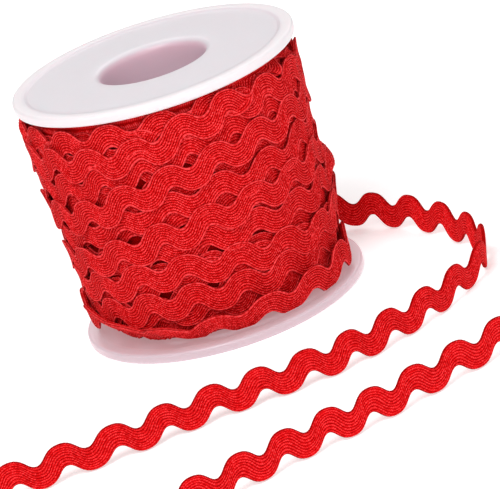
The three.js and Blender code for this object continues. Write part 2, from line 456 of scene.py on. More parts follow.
class NodeSheet:
    """Adds nodes to a tree and joins their sockets."""

    def __init__(self, tree: bpy.types.NodeTree) -> None:
        """Takes the tree to work on."""
        self.tree = tree

    def add(self, kind: str, **settings: object) -> bpy.types.Node:
        """Adds a node.

        Args:
            kind: The node's type.
            **settings: Its options.

        Returns:
            The node.
        """
        node = self.tree.nodes.new(kind)
        for option, value in settings.items():
            setattr(node, option, value)
        return node

    def feed(self, value: object, socket: Socket) -> None:
        """Links a socket into another, or sets a plain value on it.

        Args:
            value: The socket to link, or the value.
            socket: Where it goes.
        """
        if isinstance(value, Socket):
            self.tree.links.new(value, socket)
        else:
            socket.default_value = value

    def math(self, operation: str, *values: object, clamp: bool = False) -> Socket:
        """Adds one sum.

        Args:
            operation: The sum's name.
            *values: The sockets or numbers that it works on.
            clamp: Whether the result is kept between 0 and 1.

        Returns:
            The result.
        """
        node = self.add("ShaderNodeMath", operation=operation, use_clamp=clamp)
        for value, socket in zip(values, node.inputs):
            self.feed(value, socket)
        return node.outputs["Value"]

    def ease(self, value: object, low: float, high: float) -> Socket:
        """Rises smoothly from 0 to 1.

        Args:
            value: The socket to read.
            low: Where the rise starts.
            high: Where it ends.

        Returns:
            The height of the rise, from 0 to 1.
        """
        node = self.add("ShaderNodeMapRange", interpolation_type="SMOOTHSTEP")
        self.feed(value, node.inputs["Value"])
        node.inputs["From Min"].default_value = low
        node.inputs["From Max"].default_value = high
        return node.outputs["Result"]

    def blend(self, share: object, first: object, second: object) -> Socket:
        """Mixes two colours.

        Args:
            share: The share of the second colour.
            first: The first colour.
            second: The second colour.

        Returns:
            The mixed colour.
        """
        node = self.add("ShaderNodeMix", data_type="RGBA")
        self.feed(share, node.inputs["Factor"])
        for value, socket in ((first, node.inputs["A"]), (second, node.inputs["B"])):
            self.feed((*value, 1.0) if isinstance(value, tuple) else value, socket)
        return node.outputs["Result"]

    def cloud(self, place: Socket, scale: object, detail: float) -> Socket:
        """Adds a noise that changes over a place.

        Args:
            place: Where the noise is read.
            scale: How fine it is.
            detail: How many finer layers it has.

        Returns:
            The noise, about half way between 0 and 1.
        """
        node = self.add("ShaderNodeTexNoise")
        self.feed(place, node.inputs["Vector"])
        self.feed(scale, node.inputs["Scale"])
        node.inputs["Detail"].default_value = detail
        return node.outputs["Fac"]

    def axes(self, place: Socket) -> bpy.types.NodeOutputs:
        """Splits a place into its X, Y and Z.

        Args:
            place: The place to split.

        Returns:
            The three, by their letters.
        """
        node = self.add("ShaderNodeSeparateXYZ")
        self.feed(place, node.inputs["Vector"])
        return node.outputs

    def relief(self, height: Socket, strength: float, distance: float) -> Socket:
        """Turns a height into a bump.

        Args:
            height: The height, from 0 to 1.
            strength: How much of the bump shows.
            distance: The depth that a height of 1 stands for, in metres.

        Returns:
            The surface's normal with the bump.
        """
        node = self.add("ShaderNodeBump")
        node.inputs["Strength"].default_value = strength
        node.inputs["Distance"].default_value = distance
        self.feed(height, node.inputs["Height"])
        return node.outputs["Normal"]


def new_material(name: str) -> tuple[bpy.types.Material, NodeSheet, bpy.types.Node]:
    """Starts a material.

    Args:
        name: The material's name.

    Returns:
        The material, its sheet of nodes and its shader.
    """
    material = bpy.data.materials.new(name)
    material.use_nodes = True
    shader = material.node_tree.nodes["Principled BSDF"]
    return material, NodeSheet(material.node_tree), shader


class SharedEffect:
    """A shader node group that several materials use: named values in, and masks or heights out."""

    def __init__(self, name: str, takes: dict[str, str], gives: tuple[str, ...]) -> None:
        """Starts the group.

        Args:
            name: The group's name.
            takes: Its inputs' names, each with its kind, Float or Vector.
            gives: Its outputs' names.
        """
        self.tree = bpy.data.node_groups.new(name, "ShaderNodeTree")
        for title, kind in takes.items():
            self.tree.interface.new_socket(title, in_out="INPUT", socket_type=f"NodeSocket{kind}")
        for title in gives:
            self.tree.interface.new_socket(title, in_out="OUTPUT", socket_type="NodeSocketFloat")
        self.sheet = NodeSheet(self.tree)
        self.given = self.sheet.add("NodeGroupInput").outputs
        self.result = self.sheet.add("NodeGroupOutput").inputs

    def place(self, sheet: NodeSheet, **values: object) -> bpy.types.NodeOutputs:
        """Puts the group into a material with its own values.

        Args:
            sheet: The material's sheet.
            **values: The values or sockets for its inputs, by name.

        Returns:
            The group's outputs.
        """
        node = sheet.add("ShaderNodeGroup", node_tree=self.tree)
        for name, value in values.items():
            sheet.feed(value, node.inputs[name])
        return node.outputs


class BraidWeave(SharedEffect):
    """The braid's stitches: ribs along the trim, each of small slanting stitches.

    A rib's number is the whole part of Across times Ribs, and its crown lies half way to the next. Stitches
    repeat along it and slant one way on even ribs and the other way on odd ones.
    """

    GROOVE_POWER = 2.2
    STITCH_HEIGHT = 0.42

    def __init__(self) -> None:
        """Builds the group."""
        takes = dict.fromkeys(("Along", "Across", "Ribs", "Stitches", "Slant"), "Float")
        super().__init__("braid_weave", takes, ("Height", "Groove", "Stitch"))
        sheet = self.sheet
        given = self.given
        rib = sheet.math("MULTIPLY", given["Across"], given["Ribs"])
        inside = sheet.math("SUBTRACT", sheet.math("FRACT", rib), 0.5)
        from_crown = sheet.math("MULTIPLY", sheet.math("ABSOLUTE", inside), 2.0)
        groove = sheet.math("POWER", from_crown, self.GROOVE_POWER)
        odd = sheet.math("MODULO", sheet.math("FLOOR", rib), 2.0)
        side = sheet.math("MULTIPLY_ADD", odd, -2.0, 1.0)
        lean = sheet.math("MULTIPLY", sheet.math("MULTIPLY", inside, given["Slant"]), side)
        along = sheet.math("MULTIPLY_ADD", given["Along"], given["Stitches"], lean)
        phase = sheet.math("MULTIPLY_ADD", odd, 0.5, along)
        ripple = sheet.math("COSINE", sheet.math("MULTIPLY", phase, 2.0 * math.pi))
        stitch = sheet.math("MULTIPLY_ADD", ripple, 0.5, 0.5)
        crown = sheet.math("SUBTRACT", 1.0, groove)
        beads = sheet.math("MULTIPLY_ADD", stitch, self.STITCH_HEIGHT, 1.0 - self.STITCH_HEIGHT)
        sheet.feed(sheet.math("MULTIPLY", crown, beads), self.result["Height"])
        sheet.feed(groove, self.result["Groove"])
        sheet.feed(stitch, self.result["Stitch"])


class YarnWear(SharedEffect):
    """The yarn's unevenness: fine specks, and slow wear along the trim, both from the place on the object."""

    DETAIL = 2.0

    def __init__(self) -> None:
        """Builds the group."""
        takes = {"Place": "Vector", "Speck Scale": "Float", "Wear Scale": "Float"}
        super().__init__("yarn_wear", takes, ("Speck", "Wear"))
        for effect in ("Speck", "Wear"):
            scale = self.given[f"{effect} Scale"]
            noise = self.sheet.cloud(self.given["Place"], scale, self.DETAIL)
            self.sheet.feed(noise, self.result[effect])


@dataclass(frozen=True)
class ClothFinish:
    """Matt dyed braid with painted highlights on its ribs and painted shade in its grooves, a little uneven
    along its length.
    """

    name: str = "wound_cloth"
    bright: Colour = (0.78, 0.0, 0.002)
    # Painted highlight: the colour of the ribs' crowns and of a line inside the edges.
    light: Colour = (1.0, 0.10, 0.11)
    # The deep colour: painted shade in the grooves, between the stitches and at the edges; the specks use it
    # too.
    deep: Colour = (0.32, 0.0, 0.0)
    ribs: float = float(Braid().ribs)
    pitch: float = Braid().pitch
    stitches_per_mm: float = 1.9
    slant: float = 0.9
    # Painted shade: how dark the grooves are painted.
    groove_share: float = 1.0
    outer_span: tuple[float, float] = (0.0, 0.7)
    outer_fade: float = 0.1
    # Painted shade: a dark line along the band's very edges.
    edge_span: tuple[float, float] = (0.95, 1.0)
    edge_share: float = 0.7
    # Painted highlight: a light line just inside the band's edges.
    rim_span: tuple[float, float] = (0.79, 0.85)
    edge_highlight: float = 0.5
    # Painted highlight on the ribs' crowns.
    crown_span: tuple[float, float] = (0.5, 0.95)
    crown_highlight: float = 0.6
    # Painted shade between the stitches.
    stitch_share: float = 0.42
    wear_scale: float = 170.0
    wear_share: float = 0.7
    speck_scale: float = 1500.0
    speck_span: tuple[float, float] = (0.35, 0.65)
    speck_share: float = 0.35
    speck_light: float = 1.2
    rib_wiggle: float = 0.05
    relief: float = 0.12
    relief_strength: float = 0.6
    roughness: float = 0.62
    groove_roughness: float = 0.2
    specular: float = 0.05

    def keep(self, sheet: NodeSheet, along: Socket, side: Socket, wear: Socket) -> Socket:
        """Works out how much of the grooves' painted shade is kept: less on a bend's outer side, unevenly with
        the wear.

        Args:
            sheet: The material's sheet.
            along: The length along the trim, in millimetres.
            side: The place across, from -1 to 1.
            wear: The noise of the wear.

        Returns:
            The share of the grooves' painted shade that is kept.
        """
        swing = sheet.math("COSINE", sheet.math("MULTIPLY", along, 2.0 * math.pi / self.pitch))
        outer = sheet.math("MULTIPLY", side, swing)
        faded = sheet.math("MULTIPLY", sheet.ease(outer, *self.outer_span), self.outer_fade)
        uneven = sheet.math("MULTIPLY_ADD", wear, self.wear_share, 1.0 - 0.5 * self.wear_share)
        return sheet.math("MULTIPLY", sheet.math("SUBTRACT", 1.0, faded), uneven)

    def darkness(
        self, sheet: NodeSheet, stitches: bpy.types.NodeOutputs, keep: Socket, edge: Socket, grain: Socket
    ) -> Socket:
        """Sums what darkens the cloth: painted shade in its grooves, between its stitches and at its edges,
        and its specks.

        Args:
            sheet: The material's sheet.
            stitches: The weave's outputs.
            keep: How much of the grooves' painted shade is kept.
            edge: The mask of the band's edges.
            grain: The mask of the specks.

        Returns:
            The share of the deep colour: painted shade, and the specks.
        """
        dark = sheet.math("MULTIPLY", sheet.math("MULTIPLY", stitches["Groove"], self.groove_share), keep)
        low = sheet.math("SUBTRACT", 1.0, stitches["Stitch"])
        dark = sheet.math("MULTIPLY_ADD", low, self.stitch_share, dark)
        dark = sheet.math("MULTIPLY_ADD", edge, self.edge_share, dark)
        dark = sheet.math("MULTIPLY_ADD", grain, self.speck_share, dark)
        return sheet.math("SUBTRACT", dark, 0.5 * self.speck_share, clamp=True)

    def shine(self, sheet: NodeSheet, height: Socket, border: Socket, edge: Socket, grain: Socket) -> Socket:
        """Works out the painted highlights: on its ribs' crowns, and in a line inside its edges, less at
        specks.

        Args:
            sheet: The material's sheet.
            height: The weave's height.
            border: The distance from the band's middle, from 0 to 1.
            edge: The mask of the band's edges.
            grain: The mask of the specks.

        Returns:
            The share of the light colour, which is the painted highlight.
        """
        crown = sheet.math("MULTIPLY", sheet.ease(height, *self.crown_span), self.crown_highlight)
        rim = sheet.math("MULTIPLY", sheet.ease(border, *self.rim_span), self.edge_highlight)
        shine = sheet.math("MAXIMUM", crown, rim)
        shine = sheet.math("MULTIPLY", shine, sheet.math("SUBTRACT", 1.0, edge))
        return sheet.math("MULTIPLY", shine, sheet.math("SUBTRACT", self.speck_light, grain), clamp=True)

    def build(self, weave: BraidWeave, yarn: YarnWear) -> bpy.types.Material:
        """Makes the material from the braid's own pattern place.

        Args:
            weave: The group of the stitches.
            yarn: The group of the specks and the wear.

        Returns:
            The material.
        """
        material, sheet, shader = new_material(self.name)
        place = sheet.add("ShaderNodeUVMap", uv_map="braid").outputs["UV"]
        along = sheet.axes(place)["X"]
        across = sheet.axes(place)["Y"]
        spot = sheet.add("ShaderNodeTexCoord").outputs["Object"]
        scales = {"Speck Scale": self.speck_scale, "Wear Scale": self.wear_scale}
        unevenness = yarn.place(sheet, Place=spot, **scales)
        wiggle = sheet.math("MULTIPLY_ADD", unevenness["Speck"], self.rib_wiggle, -0.5 * self.rib_wiggle)
        stitches = weave.place(
            sheet,
            Along=along,
            Across=sheet.math("ADD", across, wiggle),
            Ribs=self.ribs,
            Stitches=self.stitches_per_mm,
            Slant=self.slant,
        )
        side = sheet.math("MULTIPLY_ADD", across, 2.0, -1.0)
        border = sheet.math("ABSOLUTE", side)
        edge = sheet.ease(border, *self.edge_span)
        grain = sheet.ease(unevenness["Speck"], *self.speck_span)
        keep = self.keep(sheet, along, side, unevenness["Wear"])
        dark = self.darkness(sheet, stitches, keep, edge, grain)
        shine = self.shine(sheet, stitches["Height"], border, edge, grain)
        # Painted shade, and the specks, mix in the deep colour.
        colour = sheet.blend(dark, self.bright, self.deep)
        # Painted highlights mix in the light colour over the rest.
        sheet.feed(sheet.blend(shine, colour, self.light), shader.inputs["Base Color"])
        shader.inputs["Specular IOR Level"].default_value = self.specular
        rough = sheet.math("MULTIPLY_ADD", dark, self.groove_roughness, self.roughness, clamp=True)
        sheet.feed(rough, shader.inputs["Roughness"])
        normal = sheet.relief(stitches["Height"], self.relief_strength, self.relief * METRES)
        sheet.feed(normal, shader.inputs["Normal"])
        return material


@dataclass(frozen=True)
class PlasticFinish:
    """White moulded plastic, a little milky; the trim's red showing faintly through its walls is painted into
    the bore, with painted shade.

    Painted light: a glow, pink and strongest on the lower flange, whose white is darkened by painted shade,
    least in the bore.
    """

    name: str = "milky_plastic"
    white: Colour = (0.60, 0.565, 0.60)
    # Painted light: the raised rims a lighter white.
    rim_painted_light: Colour = (0.66, 0.645, 0.66)
    # Painted light and shade in the bore: pink for the trim's red coming through the hub's wall, and darker.
    blush: Colour = (0.64, 0.36, 0.43)
    bore_radius: float = 13.0
    rim_radius: float = 31.6
    rim_fade: float = 1.4
    blush_fade: float = 0.9
    bore_share: float = 0.75
    # Painted shade: the lower flange's white is darkened.
    low_height: float = 6.0
    low_painted_shade: Colour = (0.22, 0.23, 0.27)
    low_share: float = 0.85
    tone_scale: float = 90.0
    tone_detail: float = 2.0
    tone_share: float = 0.03
    roughness: float = 0.32
    roughness_share: float = 0.12
    specular: float = 0.5
    grain_scale: float = 900.0
    grain_detail: float = 4.0
    grain_relief: float = 0.02
    grain_strength: float = 0.12
    # Painted light: a dim glow all over, pink and strong on the lower flange to lighten the shade under the
    # winding, faint in the bore.
    glow: Colour = (0.26, 0.22, 0.23)
    bore_painted_light: Colour = (0.12, 0.18, 0.20)
    low_painted_light: Colour = (1.0, 0.63, 0.65)
    painted_light_strength: float = 0.35
    milkiness: float = 0.75
    milk_depth: float = 0.006
    milk_spread: tuple[float, float, float] = (1.0, 0.6, 0.65)

    def places(self, sheet: NodeSheet, spot: Socket) -> tuple[Socket, Socket, Socket]:
        """Tells the spool's regions apart by their distance from the axis and their height.

        Args:
            sheet: The material's sheet.
            spot: The place on the object.

        Returns:
            The masks of the bore, the raised rims and the lower flange.
        """
        flat = sheet.add("ShaderNodeVectorMath", operation="MULTIPLY")
        sheet.feed(spot, flat.inputs[0])
        flat.inputs[1].default_value = (1.0, 1.0, 0.0)
        length = sheet.add("ShaderNodeVectorMath", operation="LENGTH")
        sheet.feed(flat.outputs["Vector"], length.inputs[0])
        radius = length.outputs["Value"]
        bore = self.bore_radius * METRES
        beyond_bore = sheet.ease(radius, bore, bore + self.blush_fade * METRES)
        rim = self.rim_radius * METRES
        on_rim = sheet.ease(radius, rim, rim + self.rim_fade * METRES)
        low = sheet.math("LESS_THAN", sheet.axes(spot)["Z"], self.low_height * METRES)
        return sheet.math("SUBTRACT", 1.0, beyond_bore), on_rim, low

    def build(self) -> bpy.types.Material:
        """Makes the material from places on the object.

        Returns:
            The material.
        """
        material, sheet, shader = new_material(self.name)
        spot = sheet.add("ShaderNodeTexCoord").outputs["Object"]
        in_bore, on_rim, low = self.places(sheet, spot)
        tone = sheet.cloud(spot, self.tone_scale, self.tone_detail)
        # Painted light and shade: the bore is mixed towards the pink.
        share = sheet.math("MULTIPLY", in_bore, self.bore_share)
        share = sheet.math("MULTIPLY_ADD", tone, self.tone_share, share, clamp=True)
        # Painted light on the raised rims.
        white = sheet.blend(on_rim, self.white, self.rim_painted_light)
        # Painted shade on the lower flange: its white is darkened.
        white = sheet.blend(sheet.math("MULTIPLY", low, self.low_share), white, self.low_painted_shade)
        sheet.feed(sheet.blend(share, white, self.blush), shader.inputs["Base Color"])
        grain = sheet.cloud(spot, self.grain_scale, self.grain_detail)
        smoothest = self.roughness - 0.5 * self.roughness_share
        rough = sheet.math("MULTIPLY_ADD", grain, self.roughness_share, smoothest, clamp=True)
        sheet.feed(rough, shader.inputs["Roughness"])
        normal = sheet.relief(grain, self.grain_strength, self.grain_relief * METRES)
        sheet.feed(normal, shader.inputs["Normal"])
        # Painted light: the glow, pink on the lower flange and faint in the bore.
        glow = sheet.blend(low, sheet.blend(in_bore, self.glow, self.bore_painted_light), self.low_painted_light)
        sheet.feed(glow, shader.inputs["Emission Color"])
        shader.inputs["Emission Strength"].default_value = self.painted_light_strength
        shader.inputs["Subsurface Weight"].default_value = self.milkiness
        shader.inputs["Subsurface Radius"].default_value = self.milk_spread
        shader.inputs["Subsurface Scale"].default_value = self.milk_depth
        shader.inputs["Specular IOR Level"].default_value = self.specular
        return material


@dataclass(frozen=True)
class FloorFinish:
    """Plain pale studio floor, lit a little from below as a light table is."""

    name: str = "studio_floor"
    pale: Colour = (0.88, 0.88, 0.88)
    soft: Colour = (0.86, 0.86, 0.86)
    tone_scale: float = 3.0
    tone_detail: float = 1.0
    glow: float = 0.42
    roughness: float = 0.9
    specular: float = 0.1

    def build(self) -> bpy.types.Material:
        """Makes the material.

        Returns:
            The material.
        """
        material, sheet, shader = new_material(self.name)
        spot = sheet.add("ShaderNodeTexCoord").outputs["Object"]
        tone = sheet.cloud(spot, self.tone_scale, self.tone_detail)
        sheet.feed(sheet.blend(tone, self.pale, self.soft), shader.inputs["Base Color"])
        shader.inputs["Emission Color"].default_value = (*self.pale, 1.0)
        shader.inputs["Emission Strength"].default_value = self.glow
        shader.inputs["Roughness"].default_value = self.roughness
        shader.inputs["Specular IOR Level"].default_value = self.specular
        return material


# How the trim lies


@dataclass(frozen=True)
class Outline:
    """The roll's own outline: how far out its outermost trim lies at each height."""

    heights: tuple[float, ...] = (2.7, 4.5, 7.5, 17.0, 30.0, 44.0, 58.0, 61.3)
    radii: tuple[float, ...] = (28.9, 30.2, 31.3, 32.3, 33.3, 34.0, 34.3, 33.8)
    lowest: float = 2.95
    highest: float = 61.05

    def radius(self, height: np.ndarray) -> np.ndarray:
        """Reads the outline's radius at a height."""
        return smooth_through(self.heights, self.radii, height)

    def fold(self, radius: np.ndarray, height: np.ndarray) -> tuple[np.ndarray, np.ndarray]:
        """Turns what would run into a flange inwards along it, by as much as it would run in.

        Args:
            radius: Distances from the axis.
            height: Heights.

        Returns:
            Both, with what ran too far folded in.
        """
        over = np.maximum(height - self.highest, 0.0)
        under = np.maximum(self.lowest - height, 0.0)
        return radius - over - under, height - over + under


class Station(Enum):
    """The azimuths on the front where each turn's height is given."""

    FAR_LEFT = -60.0
    LEFT = -20.0
    RIGHT = 20.0
    FAR_RIGHT = 60.0


@dataclass(frozen=True)
class Turn:
    """One turn of the trim across the front of the roll.

    Heights, lifts and leans are given at the four stations. The band's mean line runs at the heights. Crests
    lie at the first and last azimuth, with that many waves between. A lift is how far out of the outline the
    band lies, and a lean turns its upper edge outwards, in degrees.
    """

    heights: tuple[float, float, float, float]
    first_crest: float
    last_crest: float
    waves: int
    lifts: tuple[float, float, float, float] = (0.0, 0.0, 0.0, 0.0)
    leans: tuple[float, float, float, float] = (0.0, 0.0, 0.0, 0.0)


@dataclass(frozen=True)
class Knot:
    """A place on a run of trim before its first turn or after its last: where it comes in or goes out."""

    azimuth: float
    height: float
    lift: float
    lean: float = 0.0


@dataclass(frozen=True)
class ProudWave:
    """A place where the trim stands out of the roll's outline, or in where its lift is below nothing."""

    azimuth: float
    height: float
    lift: float
    reach: float


def turns_of(lift: float, *rows: tuple[float, ...]) -> tuple[Turn, ...]:
    """Makes turns that lie at one lift, from rows of four heights, two crests and a count of waves."""
    lifts = (lift,) * len(Station)
    return tuple(Turn(row[:4], row[4], row[5], int(row[6]), lifts) for row in rows)


@dataclass(frozen=True)
class WoundRun:
    """A run of the trim round the roll, each turn climbing on round the back into the next.

    The mean line's height, lift and lean are smooth curves through the stations. The wave's phase runs
    straight between the turns' first and last crests, with a whole number of waves on the back.
    """

    turns: tuple[Turn, ...]
    start: tuple[Knot, ...]
    end: tuple[Knot, ...]
    start_phase: float
    braid: Braid = Braid()
    outline: Outline = Outline()
    steps_per_wave: int = 18
    middle_radius: float = 33.3
    crest_flare: float = 0.28
    flare_reach: float = 4.0
    edge_flare: float = 0.30
    unevenness: float = 0.14
    height_unevenness: float = 0.15
    reach_unevenness: float = 0.06
    height_shift: float = 3.1
    reach_shift: float = 7.3
    wander_sines: int = 9
    wander_rates: tuple[float, float] = (0.17, 1.3)
    seed: int = 1
    proud: tuple[ProudWave, ...] = ()

    def knots(self) -> dict[str, np.ndarray]:
        """Gathers the stations of every turn, and what comes before and after, along the whole azimuth.

        Returns:
            The azimuths, heights, lifts and leans, by those names.
        """
        stations = np.array([station.value for station in Station])
        starts = FULL_TURN * np.arange(len(self.turns))
        azimuth = (starts[:, None] + stations[None, :]).ravel()
        columns = {
            "azimuth": azimuth,
            "height": np.array([turn.heights for turn in self.turns]).ravel(),
            "lift": np.array([turn.lifts for turn in self.turns]).ravel(),
            "lean": np.array([turn.leans for turn in self.turns]).ravel(),
        }
        whole = FULL_TURN * (len(self.turns) - 1)
        for name, values in columns.items():
            before = [getattr(knot, name) for knot in self.start]
            shift = whole if name == "azimuth" else 0.0
            after = [getattr(knot, name) + shift for knot in self.end]
            columns[name] = np.concatenate([before, values, after])
        return columns

    def crests(self, first_azimuth: float, last_azimuth: float) -> tuple[np.ndarray, np.ndarray]:
        """Numbers the wave crests along the run.

        Args:
            first_azimuth: Where the run starts.
            last_azimuth: Where it ends.

        Returns:
            Azimuths and the wave's phase there, in waves, both rising.
        """
        wave_angle = math.degrees(self.braid.pitch / self.middle_radius)
        azimuths = [first_azimuth]
        phases = [self.start_phase]
        for number, turn in enumerate(self.turns):
            first = FULL_TURN * number + turn.first_crest
            if number == 0:
                phase = 0.0
            else:
                phase = phases[-1] + round((first - azimuths[-1]) / wave_angle)
            azimuths += [first, FULL_TURN * number + turn.last_crest]
            phases += [phase, phase + turn.waves]
        phases.append(phases[-1] + (last_azimuth - azimuths[-1]) / wave_angle)
        azimuths.append(last_azimuth)
        return np.array(azimuths), np.array(phases)

    def proud_lift(self, azimuth: np.ndarray, height: np.ndarray, radius: np.ndarray) -> np.ndarray:
        """Sums the proud waves: each is its lift times exp(-(distance / reach)^2).

        Args:
            azimuth: The points' azimuths.
            height: Their heights.
            radius: Their distances from the axis.

        Returns:
            How far outwards each point moves.
        """
        total = np.zeros_like(height)
        for wave in self.proud:
            turn = (azimuth - wave.azimuth + FULL_TURN / 2) % FULL_TURN - FULL_TURN / 2
            far = np.hypot(np.radians(turn) * radius, height - wave.height) / wave.reach
            total += wave.lift * np.exp(-far * far)
        return total

    def wander(self, phase: np.ndarray) -> np.ndarray:
        """Works out the run's small seeded unevenness: a sum of slow sines of the phase.

        Args:
            phase: Where to read it, in waves.

        Returns:
            The sums, about as big as 1.
        """
        random = np.random.default_rng(self.seed)
        rates = random.uniform(*self.wander_rates, self.wander_sines)
        shifts = random.uniform(0.0, 2.0 * math.pi, self.wander_sines)
        waves = np.sin(2.0 * math.pi * rates[None, :] * phase[:, None] + shifts[None, :])
        return waves.sum(axis=1) / math.sqrt(self.wander_sines)

    def surface(self, from_phase: float | None = None, to_phase: float | None = None) -> Surface:
        """Works out the band between two phases of its wave, or from end to end.

        A point that lies w across the band is set back from the wave's line by w times the band's cross
        direction, which turns with the wave. Its distance from the mean line is laid along the roll's
        outline, or along the lean where the band leans. Crests flare outwards with the square of that
        distance, and the band's edges with the fourth power of v.

        Args:
            from_phase: Where to start, or None for the run's own start.
            to_phase: Where to end, or None for the run's own end.

        Returns:
            The closed surface.
        """
        knots = self.knots()
        crest_azimuth, crest_phase = self.crests(knots["azimuth"][0], knots["azimuth"][-1])
        first = crest_phase[0] if from_phase is None else from_phase
        last = crest_phase[-1] if to_phase is None else to_phase
        steps = max(2, int(round((last - first) * self.steps_per_wave)))
        phase = np.linspace(first, last, steps + 1)
        azimuth = np.interp(phase, crest_phase, crest_azimuth)
        height = smooth_through(knots["azimuth"], knots["height"], azimuth)
        lift = smooth_through(knots["azimuth"], knots["lift"], azimuth)
        lean = np.radians(smooth_through(knots["azimuth"], knots["lean"], azimuth))
        mean_radius = self.outline.radius(height) - self.braid.thickness / 2.0
        arc = np.radians(azimuth) * mean_radius
        climb = np.gradient(height, arc)
        ease = np.clip(phase - crest_phase[0], 0.0, 1.0)
        lift = lift + self.unevenness * ease * self.wander(phase)
        height = height + self.height_unevenness * ease * self.wander(phase + self.height_shift)
        stretch = self.reach_unevenness * ease * self.wander(phase + self.reach_shift)
        reach = self.braid.amplitude * (1.0 + stretch)
        wave = reach * self.braid.swing(phase)
        steep = -self.braid.slope * self.braid.band_turn * np.sin(2.0 * math.pi * phase) + climb
        length = np.hypot(1.0, steep)
        v, rise = self.braid.section(ribbed_back=False)
        w = self.braid.places(v, phase)
        aside = -w * (steep / length)[:, None]
        offset = wave[:, None] + w / length[:, None]
        point_azimuth = azimuth[:, None] + np.degrees(aside / mean_radius[:, None])
        cosine = np.cos(lean)[:, None]
        sine = np.sin(lean)[:, None]
        point_height = height[:, None] + offset * cosine - rise[None, :] * sine
        upright = self.outline.radius(point_height) - self.outline.radius(height)[:, None]
        radius = mean_radius[:, None] + lift[:, None] + upright * cosine
        radius = radius + offset * sine + rise[None, :] * cosine
        radius = radius + self.crest_flare * (offset / self.flare_reach) ** 2
        radius = radius + self.edge_flare * v[None, :] ** 4
        radius = radius + self.proud_lift(point_azimuth, point_height, radius)
        radius, point_height = self.outline.fold(radius, point_height)
        angle = np.radians(point_azimuth)
        points = np.stack([radius * np.sin(angle), -radius * np.cos(angle), point_height], axis=-1)
        return self.braid.ribbon(points, phase * self.braid.pitch, v)

    def split(self, pieces: int) -> list[Surface]:
        """Cuts the run into pieces at the back of the roll, each with its ends shut.

        Args:
            pieces: How many pieces to make.

        Returns:
            The pieces' surfaces.
        """
        knots = self.knots()
        crest_azimuth, crest_phase = self.crests(knots["azimuth"][0], knots["azimuth"][-1])
        turns = np.linspace(0, len(self.turns), pieces + 1).round()[1:-1]
        back = FULL_TURN * (turns - 1) + FULL_TURN / 2
        cuts = np.interp(back, crest_azimuth, crest_phase)
        edges = [crest_phase[0], *cuts, crest_phase[-1]]
        return [self.surface(low, high) for low, high in zip(edges[:-1], edges[1:])]


OUTER_TURNS = (
    Turn((8.0, 6.3, 6.8, 7.0), -53, 62, 5, (0.8, 1.8, 2.8, 2.6), (42, 42, 10, -12)),
    Turn((11.5, 11.3, 10.9, 10.1), -52, 62, 5, (-0.7, -0.7, -0.7, -0.7)),
    Turn((11.5, 13.7, 13.3, 13.3), -55, 53, 5),
    Turn((18.8, 21.5, 19.6, 17.2), -56, 56, 5, (0.3, -0.2, -0.2, 0.2)),
    Turn((25.5, 30.1, 32.9, 33.0), -60, 67, 6, (0.3, 0.0, -0.1, -0.5)),
    Turn((37.4, 42.4, 46.3, 47.4), -68, 54, 6, (0.1, 0.0, 0.0, 0.0)),
    Turn((51.3, 52.3, 56.3, 55.0), -57, 64, 6),
    Turn((55.9, 56.7, 57.5, 60.0), -70, 62, 6, (-0.8, -0.8, -0.8, -3.0), (0, 0, -10, -65)),
)

UNDER_TURNS = (
    Turn((8.5, 8.5, 8.4, 9.0), -62, 50, 5, (-1.5, -1.5, -1.2, -0.6)),
    Turn((16.3, 18.8, 18.0, 16.2), -46, 66, 5, (-0.7, -0.7, -0.7, -0.7)),
    Turn((23.5, 27.2, 26.8, 25.8), -46, 67, 5, (-0.55, -0.55, -0.55, -0.55)),
    Turn((32.0, 37.4, 38.2, 40.2), -57, 58, 5, (-0.55, -0.55, -0.55, -0.55)),
    Turn((44.6, 48.7, 50.8, 51.5), -56, 64, 6, (-0.55, -0.55, -0.55, -0.55)),
    Turn((52.8, 53.4, 55.2, 54.8), -58, 52, 5, (-1.2, -1.2, -1.2, -1.6)),
)

DEEP_TURNS = turns_of(
    -1.35,
    (5.5, 6.0, 6.5, 7.0, -50, 63, 5),
    (12.5, 13.0, 13.5, 14.0, -60, 52, 5),
    (19.5, 20.0, 20.5, 21.0, -47, 66, 5),
    (26.5, 27.0, 27.5, 28.0, -66, 48, 5),
    (33.5, 34.0, 34.5, 35.0, -52, 61, 5),
    (40.5, 41.0, 41.5, 42.0, -58, 55, 5),
    (47.5, 48.0, 48.5, 49.0, -45, 69, 5),
) + turns_of(-2.4, (54.0, 54.5, 55.0, 55.5, -63, 50, 5))

PROUD_WAVES = (
    ProudWave(-90.0, 46.0, 0.7, 14.0),
    ProudWave(-90.0, 43.0, 0.5, 2.5),
    ProudWave(-90.0, 57.0, 1.2, 3.0),
    ProudWave(90.0, 18.0, 0.6, 4.0),
    ProudWave(91.0, 26.5, 2.8, 4.5),
    ProudWave(90.0, 32.0, -0.7, 2.5),
    ProudWave(90.0, 45.0, -0.5, 13.0),
    ProudWave(92.0, 5.0, -2.3, 7.0),
)


